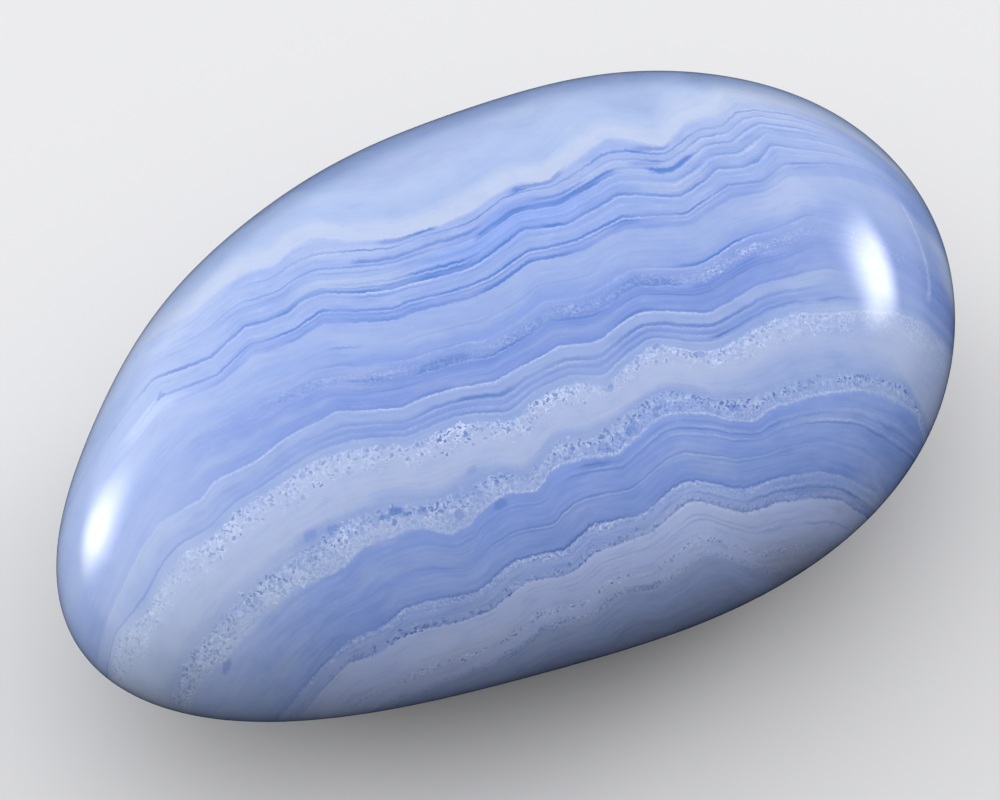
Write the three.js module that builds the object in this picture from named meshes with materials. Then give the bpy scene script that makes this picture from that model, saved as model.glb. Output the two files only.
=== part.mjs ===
// A polished pebble of blue lace agate: one solid, hand-sized stone, egg-shaped in plan and pillow-shaped from the side.
// Millimetres, +Z up. The stone rests on the XY plane, and the origin is the middle of its length and width.
// +X runs along its length, towards the broad, thick end.
import * as THREE from "three";

// Overall size
const LENGTH = 68;
const WIDTH = 43.6;
const HEIGHT = 26;

// How far the ends differ: the share by which the +X end is wider, and thicker, than the middle
const WIDER_END = 0.158;
const THICKER_END = 0.06;

// The rounded shoulder between the top face and the sides, as a share of the radius there
const SHOULDER = 0.12;

// Slow swellings that tumbling left round the plan outline: how many go round, and their height as a share of the radius
const SWELLINGS = [
  { count: 3, height: -0.015 },
  { count: 4, height: 0.024 },
  { count: 6, height: -0.0042 },
];

// The worn patch that the stone rests on is this far above the lowest point of the rounded underside
const WORN_DEPTH = 0.3;

// Facets of the solid: steps round the outline, and steps from the underside to the top
const STEPS_AROUND = 80;
const STEPS_UP = 32;

// Turns a direction from the middle of the stone into a point of a stone whose half-sizes are all about 1.
function pebblePoint(direction) {
  const angle = Math.atan2(direction.y, direction.x);
  const ring = Math.hypot(direction.x, direction.y) * (1 + SHOULDER * direction.z ** 2);
  const swell = SWELLINGS.reduce((sum, s) => sum + s.height * Math.sin(s.count * angle), 1);
  const x = Math.cos(angle) * swell * ring;
  const y = Math.sin(angle) * swell * ring * (1 + WIDER_END * Math.cos(angle));
  const z = direction.z * (1 + THICKER_END * x);
  return new THREE.Vector3(x, y, z);
}

// Brings a geometry to the given size along each axis, centred in X and Y, with its lowest point at z = 0.
function fitToSize(geometry, length, width, height) {
  geometry.computeBoundingBox();
  const size = geometry.boundingBox.getSize(new THREE.Vector3());
  const centre = geometry.boundingBox.getCenter(new THREE.Vector3());
  geometry.translate(-centre.x, -centre.y, -geometry.boundingBox.min.z);
  geometry.scale(length / size.x, width / size.y, height / size.z);
}

// Flattens everything below the given depth to one plane, and sets that plane at z = 0.
function wearFlat(geometry, depth) {
  const position = geometry.attributes.position;
  for (let i = 0; i < position.count; i++) {
    position.setZ(i, Math.max(position.getZ(i), depth) - depth);
  }
}

function pebbleGeometry() {
  const geometry = new THREE.SphereGeometry(1, STEPS_AROUND, STEPS_UP);
  geometry.rotateX(Math.PI / 2);
  const position = geometry.attributes.position;
  const direction = new THREE.Vector3();
  for (let i = 0; i < position.count; i++) {
    const point = pebblePoint(direction.fromBufferAttribute(position, i));
    position.setXYZ(i, point.x, point.y, point.z);
  }
  fitToSize(geometry, LENGTH, WIDTH, HEIGHT + WORN_DEPTH);
  wearFlat(geometry, WORN_DEPTH);
  geometry.computeVertexNormals();
  return geometry;
}

// Pale periwinkle blue, with a glossy hand polish
function polishedAgate() {
  return new THREE.MeshStandardMaterial({ color: 0xa6b9e8, roughness: 0.1, metalness: 0 });
}

const pebble = new THREE.Mesh(pebbleGeometry(), polishedAgate());
pebble.name = "agate_pebble";

const group = new THREE.Group();
group.add(pebble);

export default group;
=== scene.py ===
# %% [markdown]
# # A palm stone of blue lace agate
#
# The stone is one solid pebble, cut from layered agate and polished all over. Two things make it what it
# is: an egg-like outline that is smooth to the hand, and thin wavy layers that run right through the
# stone. The shape is made first, then the layers are measured out inside it, then the finish is built on
# them.

import bpy
import numpy as np
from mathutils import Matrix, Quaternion, Vector

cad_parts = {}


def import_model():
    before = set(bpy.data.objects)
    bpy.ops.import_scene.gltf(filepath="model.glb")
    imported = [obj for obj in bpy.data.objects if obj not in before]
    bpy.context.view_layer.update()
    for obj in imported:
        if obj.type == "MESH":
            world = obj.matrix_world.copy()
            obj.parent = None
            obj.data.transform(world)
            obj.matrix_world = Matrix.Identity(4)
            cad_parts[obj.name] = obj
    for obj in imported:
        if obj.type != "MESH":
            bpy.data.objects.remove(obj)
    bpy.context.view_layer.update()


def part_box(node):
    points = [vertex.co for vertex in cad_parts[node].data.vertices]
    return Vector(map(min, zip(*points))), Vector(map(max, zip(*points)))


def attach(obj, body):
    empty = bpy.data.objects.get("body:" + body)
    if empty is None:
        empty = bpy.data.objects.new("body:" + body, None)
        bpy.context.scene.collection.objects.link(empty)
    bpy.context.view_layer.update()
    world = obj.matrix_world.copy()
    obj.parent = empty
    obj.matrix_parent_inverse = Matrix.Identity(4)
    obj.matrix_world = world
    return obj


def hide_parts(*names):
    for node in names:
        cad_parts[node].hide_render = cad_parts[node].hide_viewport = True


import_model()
MM = 0.001
low_corner, high_corner = (np.array(corner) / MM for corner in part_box("agate_pebble"))
LENGTH, WIDTH, HEIGHT = high_corner - low_corner
print("pebble in mm:", np.round([LENGTH, WIDTH, HEIGHT], 2))

# %% [markdown]
# ## Where the stone is seen from
#
# The camera comes before the shape here, because the layers run straight along one direction through the
# stone, and the easiest way to name that direction is the way the camera looks. The camera stands about
# 19 cm away with a long lens, so that the stone fills the frame, as in a product photo.

# %% Directions of the view
VIEW_TURN = np.radians(-33.65)
VIEW_RISE = np.radians(50)
VIEW_DISTANCE = 188.4 * MM
AIM_RIGHT = -0.47 * MM
AIM_UP = -0.65 * MM

sideways = np.array([np.cos(VIEW_TURN), np.sin(VIEW_TURN), 0])
level_way = np.array([np.sin(VIEW_TURN), -np.cos(VIEW_TURN), 0])
towards_eye = level_way * np.cos(VIEW_RISE) + np.array([0, 0, np.sin(VIEW_RISE)])
upwards = np.cross(towards_eye, sideways)
stone_middle = np.array([0, 0, HEIGHT / 2 * MM])
print("the eye lies towards", np.round(towards_eye, 3))

# %% [markdown]
# ## The pebble
#
# A ball made of rings pinches its surface at two poles, and a gloss shows every pinch. A cube blown up to
# a ball has no poles: six square patches, each a surface of two parameters, meet in even cells all over.
# Each direction from the middle is then moved by the pebble's own formula: a wider and thicker end, a
# fuller shoulder, three slow swellings that tumbling left, and a small flat that the stone rests on.

# %% A ball from six square patches
PATCH_STEPS = 126


def ball_directions(steps):
    """Unit directions on six patches. Each patch has two parameters that turn from -45 to 45 degrees,
    and a point of it is (1, tangent of one, tangent of the other) made one long, rolled round to face
    its own way. On the patch opposite the first two of the three are negative."""
    turn = np.tan(np.radians(np.linspace(-45, 45, steps + 1)))
    a, b = np.meshgrid(turn, turn, indexing="ij")
    patches = []
    for axis in range(3):
        for side in (1, -1):
            patch = np.stack([np.full_like(a, side), a * side, b], -1)
            patches.append(np.roll(patch, axis, -1))
    points = np.stack(patches)
    return points / np.linalg.norm(points, axis=-1, keepdims=True)


def ball_faces(steps):
    """Quads of the six patches, each the four corners of one cell, numbered along the patches in turn."""
    row = np.arange(steps)
    i, j = np.meshgrid(row, row, indexing="ij")
    corner = i * (steps + 1) + j
    cell = np.stack([corner, corner + steps + 1, corner + steps + 2, corner + 1], -1).reshape(-1, 4)
    return np.concatenate([cell + patch * (steps + 1) ** 2 for patch in range(6)])


def merged(points, faces):
    """The same surface with the points that patches share made one: points that agree to a millionth
    are equal."""
    keys = np.round(points.reshape(-1, 3) * 1e6).astype(np.int64)
    _, first, index = np.unique(keys, axis=0, return_index=True, return_inverse=True)
    return points.reshape(-1, 3)[first], index.reshape(-1)[faces]


directions, pebble_faces = merged(ball_directions(PATCH_STEPS), ball_faces(PATCH_STEPS))
print("points:", len(directions), "faces:", len(pebble_faces))

# %% The pebble's own form
# How much wider and thicker the +X end is, and how full the shoulder is, as shares of the middle's size,
# and how far the rounded underside is worn off, in millimetres
WIDER_END = 0.158
THICKER_END = 0.06
SHOULDER = 0.12
WORN_DEPTH = 0.3
# Each swelling: how many go round, and its height as a share of the radius
SWELLINGS = ((3, -0.015), (4, 0.024), (6, -0.0042))
# Each wave of the polish: how fast it turns along X, Y and Z, in radians per millimetre, and where it
# starts
POLISH_WAVES = (
    (0.31, 0.17, 0.22, 0.9), (-0.19, 0.36, -0.15, 2.3), (0.12, -0.27, 0.33, 4.1), (0.4, 0.09, -0.28, 5.2),
)
POLISH_DEPTH = 0.02


def pebble_surface(d):
    """A direction keeps its bearing. Its distance from the upright axis grows with the square of its
    height, and with the swellings, which are sines round the outline. Width and height also grow
    towards the +X end."""
    bearing = np.arctan2(d[:, 1], d[:, 0])
    ring = np.hypot(d[:, 0], d[:, 1]) * (1 + SHOULDER * d[:, 2] ** 2)
    swell = 1 + sum(height * np.sin(count * bearing) for count, height in SWELLINGS)
    x = np.cos(bearing) * swell * ring
    y = np.sin(bearing) * swell * ring * (1 + WIDER_END * np.cos(bearing))
    z = d[:, 2] * (1 + THICKER_END * x)
    return np.stack([x, y, z], 1)


def fitted(points, size):
    """Points stretched along each axis to the size, centred in X and Y, with the lowest point at zero."""
    low, high = points.min(0), points.max(0)
    points = (points - (low + high) / 2) / (high - low) * size
    points[:, 2] += size[2] / 2
    return points


def hand_polish(points):
    """Faint hollows of hand polishing: each point moves along its line from the origin, under the
    stone's middle, by a sum of slow sines."""
    wave = sum(np.sin(points @ np.array([a, b, c]) + start) for a, b, c, start in POLISH_WAVES)
    out = points / np.linalg.norm(points, axis=1, keepdims=True)
    return points + out * (wave * POLISH_DEPTH)[:, None]


full_size = np.array([LENGTH, WIDTH, HEIGHT + WORN_DEPTH])
pebble_points = fitted(hand_polish(fitted(pebble_surface(directions), full_size)), full_size)
pebble_points[:, 2] = np.maximum(pebble_points[:, 2], WORN_DEPTH) - WORN_DEPTH
pebble_points[:, 2] += low_corner[2]
print("size in mm:", np.round(np.ptp(pebble_points, axis=0), 2))

# %% [markdown]
# ## The layers
#
# Agate grows as one thin layer on another, and each layer repeats the waves of the one below. So the
# layers are told apart by one number, the height in the stack, in millimetres. Twelve of them were read
# off as bent lines, with "along" and "across" in millimetres. Between two lines the height runs
# evenly from one to the other, so that every layer in between bends a little like both.

# %% Twelve layers as bent lines
# Each layer has its height in the stack, and its points (along, across).
BENT_LAYERS = {
    12.5: [
        (-33, 3), (-28, 6.5), (-25, 9.2), (-21.8, 11), (-17.5, 11.8), (-15.1, 12.8), (-13.5, 13.15),
        (-11.5, 12.9), (-10.1, 13.55), (-8.8, 13.7), (-7.7, 13.4), (-6.1, 12.55), (-3.2, 11.65),
        (-1, 11.5), (2, 11.9), (5, 12.65), (7.3, 12), (8.2, 12.3), (10, 13.1), (12, 13.65), (12.9, 13.3),
        (15.5, 11.7), (17.5, 12.95), (20, 12.8), (21.8, 13.35), (24.2, 12.3), (26, 11.3), (28, 9.5),
        (30, 7), (33, 2),
    ],
    11.8: [
        (-33, 1.5), (-28, 5.6), (-25, 8.4), (-22, 10.3), (-18, 11.1), (-14.5, 12.2), (-12, 12),
        (-10.5, 12.45), (-9, 12.6), (-8, 12.4), (-6, 11.8), (-4, 11.2), (-1.5, 11.3), (0, 11.1),
        (1.4, 11.05), (4, 11.9), (6.2, 11.8), (7.3, 11.6), (8.3, 11.7), (11.5, 12.55), (12.9, 12.2),
        (15.1, 11.2), (15.8, 11.3), (18, 12.1), (20, 11.9), (21.3, 12.5), (22.7, 12.3), (25, 11.2),
        (28, 8.9), (30, 6.4), (33, 1),
    ],
    9.1: [
        (-33, -2.5), (-29, 2.6), (-26, 5.2), (-23, 7.4), (-21.1, 8.45), (-17.1, 8.42), (-14.5, 9.6),
        (-13.2, 9.45), (-11.5, 9.42), (-10.5, 9.9), (-9.2, 10), (-7.2, 9.27), (-4.8, 8.64), (-3, 8.55),
        (0.2, 8.2), (1.4, 8.45), (4.5, 9.45), (7.3, 8.85), (10, 9.36), (11.1, 9.64), (12.5, 9.2),
        (13.8, 8.55), (15.1, 8.1), (17.1, 8.6), (18.2, 9.1), (20, 8.65), (21.3, 8.8), (22.5, 9.55),
        (24, 8.8), (26.7, 7.55), (28.5, 6.2), (31.5, 2), (33, -2),
    ],
    7.6: [
        (-33, -5), (-30, -0.5), (-28, 2), (-25, 4.6), (-23, 5.6), (-20.9, 7.1), (-17, 7.1), (-14.5, 8.3),
        (-13.4, 8.15), (-11.4, 8.15), (-9.5, 8.76), (-8.6, 8.45), (-7.4, 8), (-5.1, 7.27), (-3.9, 7.36),
        (0.1, 7), (1.4, 7.1), (4.3, 7.9), (5.6, 7.7), (7.5, 7.5), (10.9, 8.05), (12.2, 7.6), (14.9, 6.85),
        (17.6, 7.5), (18.4, 7.75), (20.7, 7.2), (22.7, 7.87), (25.6, 7.1), (27.8, 6.05), (29.3, 4.8),
        (31.5, 0), (33, -5),
    ],
    3.2: [
        (-33, -9), (-28, -3.3), (-24, 0.9), (-22, 2.3), (-19.3, 3.6), (-15, 4), (-11, 4.4), (-10, 4.2),
        (-8.5, 3.6), (-5, 3), (-1.5, 2.8), (-0.3, 2.45), (2.5, 3), (4, 3.6), (6.5, 3), (7.5, 3),
        (10, 3.7), (13, 2.6), (14.5, 2.45), (17.5, 3), (22.5, 3), (24, 2.4), (26, 1.2), (28, -1),
        (30, -4), (33, -10),
    ],
    1.2: [
        (-33, -11), (-28, -4.8), (-24.9, -1.7), (-23.1, -0.45), (-20, 0.18), (-18.9, 0.96), (-16.4, 1.13),
        (-13.9, 1.9), (-11.7, 2.2), (-10.5, 2.45), (-8.6, 1.8), (-6.6, 1.2), (-5.1, 1.35), (-3.4, 1.25),
        (-0.6, 0.78), (0.8, 1.05), (4, 1.5), (6, 1.04), (6.9, 1.04), (8.2, 1.5), (9.6, 1.8), (10.4, 1.6),
        (11.6, 1.1), (13.6, 0.27), (15.1, 0.38), (17.6, 0.85), (22.2, 0.4), (24.5, -0.9), (26.5, -2.4),
        (28, -4), (30, -7.5), (33, -14),
    ],
    -1.2: [
        (-33, -13), (-30, -9), (-28, -6.4), (-25.3, -5.2), (-23.5, -3.6), (-22, -2.7), (-20, -2.45),
        (-18, -1.45), (-14.9, -0.73), (-12.3, -0.2), (-10, -0.36), (-8, -0.9), (-7, -1.27), (-3.7, -1.1),
        (-2.6, -1.3), (-0.5, -2.1), (0.3, -1.9), (1.4, -1.3), (2.9, -1.1), (4.2, -1.2), (6, -2),
        (6.9, -1.45), (9.3, -0.67), (10.2, -0.85), (12.2, -2), (13.6, -2.27), (17.5, -1.73), (19.3, -1.9),
        (21.8, -2.7), (25.5, -3.7), (27.8, -5.5), (30, -9.5), (33, -18),
    ],
    -4.6: [
        (-33, -18), (-26.7, -11.3), (-24, -8.6), (-22.2, -7.5), (-20.4, -6.4), (-17.5, -5.5),
        (-15.1, -4.7), (-11, -4.1), (-9, -4.2), (-6.3, -4.8), (-2, -4.6), (-1, -5.2), (0, -5), (1.9, -4),
        (4, -4.5), (7, -3.7), (9.3, -3.4), (11, -4.1), (12.2, -5.1), (14.7, -5.8), (17.6, -5.7),
        (20.8, -6.35), (22.9, -7.35), (24.7, -8.7), (25.6, -13), (33, -30),
    ],
    -6.2: [
        (-33, -20), (-25.6, -11.9), (-24, -10.5), (-22.2, -9.8), (-20.4, -8.7), (-18.2, -7.6), (-16, -7),
        (-13, -6.7), (-11.7, -6), (-9, -5.9), (-7.9, -6.1), (-6.3, -7.1), (-5, -7), (-4.3, -6.4),
        (-2.3, -5.9), (-0.6, -6.45), (0, -6.3), (0.5, -5.7), (1.4, -5.5), (2.9, -5.55), (5.1, -6.1),
        (8, -5), (9.1, -4.9), (11.1, -5.55), (12.5, -6.55), (14, -7.2), (15.1, -6.8), (18.2, -6.95),
        (20.9, -7.6), (23.1, -8.6), (24.7, -10.3), (25.2, -13), (33, -32),
    ],
    -10.3: [
        (-33, -24), (-22, -15.5), (-17.5, -12.7), (-15, -11.4), (-13.5, -11), (-12.3, -11.1),
        (-10.5, -10.45), (-9, -10.55), (-7, -11), (-5.9, -11.05), (-4, -10.3), (-3, -10.1), (0.1, -10.55),
        (1.9, -9.7), (5.1, -10.2), (6.2, -9.9), (7.3, -9.45), (8.5, -9.2), (9.3, -9.45), (11.8, -11),
        (14.2, -11.05), (17.1, -11.8), (18.4, -12.5), (20.4, -14.6), (21, -16), (33, -42),
    ],
    -11.8: [
        (-33, -26), (-22, -16.5), (-17.5, -13.7), (-15, -12.5), (-12.8, -12.45), (-10.8, -12),
        (-9.5, -12.1), (-7.9, -12.45), (-5.7, -12.45), (-3.2, -11.6), (-1.9, -11.7), (-1, -12),
        (0.1, -12), (1.7, -11.3), (5.3, -11.45), (8.2, -10.4), (8.9, -10.6), (11.5, -12.45),
        (13.6, -12.5), (15.8, -13.1), (17.8, -14), (19.6, -16), (33, -44),
    ],
    -15: [
        (-33, -27), (-20, -17.5), (-14, -16), (-7, -15.8), (-5, -15.6), (-3, -14.9), (-1.9, -14.9),
        (0.1, -15.2), (2.1, -14.45), (3.1, -14.45), (4.5, -14.9), (8, -14), (9.1, -14.4), (9.8, -15.1),
        (11.5, -16.5), (14, -17.5), (17, -18.5), (33, -46),
    ],
}
print("points of the bent layers:", {level: len(points) for level, points in BENT_LAYERS.items()})

# %% The height between the bent lines
KNEE = 0.12
NARROWEST_GAP = 0.05


def bent_line(along, points):
    """How far across a layer lies at each place along: straight from point to point, with each knee
    rounded by averaging the line with itself moved a little to both sides."""
    spots, across = np.array(points, float).T
    return np.mean([np.interp(along + move, spots, across) for move in (-KNEE, 0, KNEE)], axis=0)


def stack_height(along, across):
    """The height in the stack at a place. From the lowest line up, each gap between two lines adds
    the share of it that lies below the place, times the heights between the lines. Beyond the last
    lines the height grows evenly."""
    levels = sorted(BENT_LAYERS)
    lines = [bent_line(along, BENT_LAYERS[level]) for level in levels]
    height = levels[0] + np.minimum(across - lines[0], 0) + np.maximum(across - lines[-1], 0)
    for lower, upper, low_line, high_line in zip(levels, levels[1:], lines, lines[1:]):
        share = (across - low_line) / np.maximum(high_line - low_line, NARROWEST_GAP)
        height = height + np.clip(share, 0, 1) * (upper - lower)
    return height


middle_height = stack_height(np.zeros(1), np.zeros(1))[0]
print("height in the stack at the stone's middle:", np.round(middle_height, 2))

# %% Every point's place among the layers
# How far the layers are turned from level in the view, and their dip on the hidden side: the depth at which
# it starts, how much of it there is to a millimetre of depth, and the share of it that counts across
LAYERS_TURN = np.radians(20)
HIDDEN_FROM = -3
HIDDEN_DIP = 0.22
DROP_SHARE = 0.5

along_axis = sideways * np.cos(LAYERS_TURN) + upwards * np.sin(LAYERS_TURN)
across_axis = upwards * np.cos(LAYERS_TURN) - sideways * np.sin(LAYERS_TURN)


def place_in_layers(points):
    """Along and across are distances on two axes square to the view. The layers run straight through
    the stone, and on its far side they dip a little, in step with the depth, so that the back isn't a
    copy of the front."""
    arm = points - stone_middle / MM
    through = arm @ towards_eye
    dip = np.maximum(HIDDEN_FROM - through, 0) * HIDDEN_DIP
    along = arm @ along_axis + dip
    across = arm @ across_axis - dip * DROP_SHARE
    return np.stack([along, stack_height(along, across), through], 1)


beds = place_in_layers(pebble_points)
print("beds from", np.round(beds.min(0), 1), "to", np.round(beds.max(0), 1))

# %% The pebble as a mesh
def add_piece(name, points, faces):
    """One smooth mesh object at the origin, with its points in metres."""
    mesh = bpy.data.meshes.new(name)
    mesh.from_pydata((points * MM).tolist(), [], faces.tolist())
    mesh.shade_smooth()
    piece = bpy.data.objects.new(name, mesh)
    bpy.context.scene.collection.objects.link(piece)
    return piece


pebble = add_piece("polished_pebble", pebble_points, pebble_faces)
first_face = pebble.data.polygons[0]
outward = np.dot(first_face.normal, np.array(first_face.center) - stone_middle)
print("faces point", "outwards" if outward > 0 else "inwards")

# %% [markdown]
# ## Numbers stored at the points
#
# The look has two kinds of detail. What changes slowly over the stone, such as how milky one end is, is
# worked out here for every point at once and stored in the mesh under a name. What is thinner than the
# mesh, such as a line, is worked out by the material, which reads the stored numbers.

# %% Storing and blending
def store(name, values):
    """Stores one number, or three, at every point of the pebble."""
    kind, field = ("FLOAT", "value") if values.ndim == 1 else ("FLOAT_VECTOR", "vector")
    attribute = pebble.data.attributes.new(name, kind, "POINT")
    attribute.data.foreach_set(field, values.astype(np.float32).ravel())


def smooth(value, start, end):
    """A share that goes from 0 to 1 while the value goes from start to end: 3 t squared less 2 t
    cubed."""
    t = np.clip((value - start) / (end - start), 0, 1)
    return t * t * (3 - 2 * t)


store("beds", beds)
along_beds, height_beds, _ = beds.T
print("numbers stored at", len(pebble.data.vertices), "points")

# %% [markdown]
# ## Colours
#
# Blue lace agate has few colours: milk, a hazy sky blue, and several blues that differ by how dense the
# layer is. They are named once, and every layer, line and grain takes its colour from these names. A few
# of them also paint light and shade: haze and a grey darken parts of the rim as painted shade, and the
# veil over the ends is partly painted light.

# %% Colours by name
COLOURS = {
    "frost": (204, 217, 248),
    "milk": (163, 176, 207),
    # the veil colour below is the milky tint of sugary grains, and of the veil over the ends, which is
    # partly painted light
    "veil_and_painted_light": (176, 191, 223),
    "sky": (142, 162, 203),
    # haze is the colour at the top of the stack, and in patches along the rim it is painted shade
    "haze_and_painted_rim_shade": (130, 150, 193),
    "pale": (132, 153, 205),
    "mist": (125, 149, 205),
    "periwinkle": (115, 140, 203),
    "cornflower": (106, 132, 200),
    "deep": (57, 97, 171),
    "azure": (60, 106, 183),
    "lavender": (156, 171, 211),
    "ice": (140, 162, 219),
    "cloud": (172, 187, 233),
    "slate": (150, 167, 213),
    "river": (114, 142, 210),
    "clear": (112, 143, 217),
    "dusk": (140, 155, 198),
    # the grey below paints a dark reflection and shade at the bottom-right rim
    "painted_dark_reflection": (130, 132, 148),
}


def linear(name):
    """A named colour as the renderer counts light: screen values raised to the power of the screen's
    curve."""
    value = np.array(COLOURS[name]) / 255
    curved = np.where(value <= 0.04045, value / 12.92, ((value + 0.055) / 1.055) ** 2.4)
    return (*curved, 1)


print("colours:", ", ".join(COLOURS))

# %% [markdown]
# ## Building materials from nodes
#
# A material is a net of nodes, and each node does one small step. Written out one by one they would hide
# what is going on, so a few helpers each add one node and give back what comes out of it. The functions
# further on then read like sums.

# %% Adding one node
def feed(tree, node, inputs):
    """Gives a node its inputs by name or number, each a value or another node's output."""
    for name, value in inputs.items():
        if isinstance(value, bpy.types.NodeSocket):
            tree.links.new(value, node.inputs[name])
        else:
            node.inputs[name].default_value = value
    return node


def put(tree, kind, inputs=None, **settings):
    """A new node with its settings and its inputs."""
    node = tree.nodes.new("ShaderNode" + kind)
    for name, value in settings.items():
        setattr(node, name, value)
    return feed(tree, node, inputs or {})


def stored(tree, name, output="Vector"):
    """What the mesh has stored under a name."""
    return put(tree, "Attribute", attribute_name=name).outputs[output]


# %% Nodes for sums, ramps, mixing and noise
def sums(tree, operation, *values, clamp=False):
    """One step of arithmetic on numbers."""
    return put(tree, "Math", dict(enumerate(values)), operation=operation, use_clamp=clamp).outputs[0]


def vectors(tree, operation, *values, result=0):
    """One step of arithmetic on vectors."""
    return put(tree, "VectorMath", dict(enumerate(values)), operation=operation).outputs[result]


def ramp_between(tree, value, start, end, low=0.0, high=1.0):
    """A number that goes smoothly from low to high while the value goes from start to end."""
    inputs = {"Value": value, "From Min": start, "From Max": end, "To Min": low, "To Max": high}
    return put(tree, "MapRange", inputs, interpolation_type="SMOOTHSTEP").outputs["Result"]


def mix_colours(tree, share, below, above):
    """The first colour, covered by the second in the given share."""
    return put(tree, "Mix", {0: share, 6: below, 7: above}, data_type="RGBA").outputs[2]


def noise(tree, vector, size, detail=2.0, roughness=0.5):
    """Soft noise from 0 to 1 whose lumps are about as large as the size, in the vector's own unit."""
    inputs = {"Vector": vector, "Scale": 1 / size, "Detail": detail, "Roughness": roughness}
    return put(tree, "TexNoise", inputs).outputs["Fac"]


# %% [markdown]
# ## A stack of colours
#
# Nearly everything on this stone goes by its height in the stack, which is what a colour ramp is for. But
# a ramp holds 32 stops at most, and the stack has more layers than that, so it is put together from several
# ramps.

# %% A stack of colours from many short ramps
RAMP_STOPS = 30


def fill_ramp(ramp, stops):
    """Gives a ramp node its stops, pairs of a place from 0 to 1 and a colour."""
    elements = ramp.color_ramp.elements
    elements.remove(elements[1])
    elements[0].position = stops[0][0]
    elements[0].color = stops[0][1]
    for place, colour in stops[1:]:
        elements.new(place).color = colour


# %% Ramps joined into one stack
def colour_stack(tree, height, stops):
    """Colour by height. A ramp holds few stops, so the list is cut into runs, each its own ramp, and
    a run takes over where the height passes its first stop."""
    result = None
    for first in range(0, len(stops) - 1, RAMP_STOPS - 1):
        run = stops[first:first + RAMP_STOPS]
        bottom, top = run[0][0], run[-1][0]
        share = put(tree, "MapRange", {"Value": height, "From Min": bottom, "From Max": top})
        ramp = put(tree, "ValToRGB", {"Fac": share.outputs["Result"]})
        fill_ramp(ramp, [((level - bottom) / (top - bottom), colour) for level, colour in run])
        if result is None:
            result = ramp.outputs["Color"]
        else:
            above = sums(tree, "GREATER_THAN", height, bottom)
            result = mix_colours(tree, above, result, ramp.outputs["Color"])
    return result


# %% [markdown]
# ## The layers' ground colours
#
# Without its fine lines the stone is broad soft bands: hazy sky blue at the top, a milky ribbon, blues
# that deepen and pale again, two sugary bands with lavender milk between them, deeper blue, and grey milk
# at the foot.

# %% Ground colours up the stack
GROUND = [
    (-19, "dusk"), (-17.6, "dusk"), (-16.2, "slate"), (-15.3, "slate"), (-14.8, "cloud"),
    (-12.1, "cloud"), (-11.9, "cloud"), (-11.8, "ice"), (-11.2, "ice"), (-10.8, "ice"), (-10.34, "ice"),
    (-10.26, "river"), (-9.2, "river"), (-8.6, "river"), (-6.4, "river"), (-6.2, "pale"), (-5, "mist"),
    (-4.4, "pale"), (-3.8, "lavender"), (-2, "lavender"), (-1.6, "lavender"), (-1.1, "pale"),
    (-0.6, "mist"), (-0.4, "periwinkle"), (0.1, "periwinkle"), (0.3, "mist"), (0.6, "pale"),
    (1.16, "pale"), (1.2, "cornflower"), (1.8, "cornflower"), (2.1, "periwinkle"), (2.5, "cornflower"),
    (3.5, "cornflower"), (3.9, "periwinkle"), (4.3, "periwinkle"), (5.2, "mist"), (6.2, "pale"),
    (6.7, "pale"), (6.88, "periwinkle"), (7.5, "periwinkle"), (8.1, "mist"), (9, "mist"), (9.6, "mist"),
    (10.4, "mist"), (11, "pale"), (11.7, "pale"), (12.3, "pale"), (12.6, "milk"), (13.4, "milk"),
    (14.2, "sky"), (16, "sky"), (17.2, "haze_and_painted_rim_shade"), (19, "haze_and_painted_rim_shade"),
]
print("ground colours from", GROUND[0][0], "to", GROUND[-1][0], "mm up the stack")
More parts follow.
